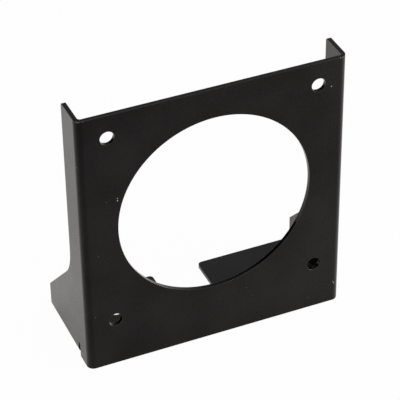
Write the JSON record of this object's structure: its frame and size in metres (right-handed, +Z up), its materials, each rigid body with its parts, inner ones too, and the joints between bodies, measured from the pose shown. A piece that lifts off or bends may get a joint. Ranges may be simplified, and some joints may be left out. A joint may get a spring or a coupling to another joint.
{
  "type": "pump mounting bracket",
  "caption": "Folded sheet-steel pump bracket: upright plate with a round opening and corner screw holes, side flanges flaring towards the base, and inward feet with screw holes.",
  "frame": {"origin": "on the base, under the middle of the footprint", "axes": "+Z up, -Y out of the front plate towards the pump's flange, +X to the right as seen from the front"},
  "size_m": [0.096, 0.038, 0.103],
  "materials": {
    "black_coat": "satin black powder coat on folded steel sheet"
  },
  "bodies": {
    "root": {"bracket": "black_coat"}
  },
  "joints": []
}
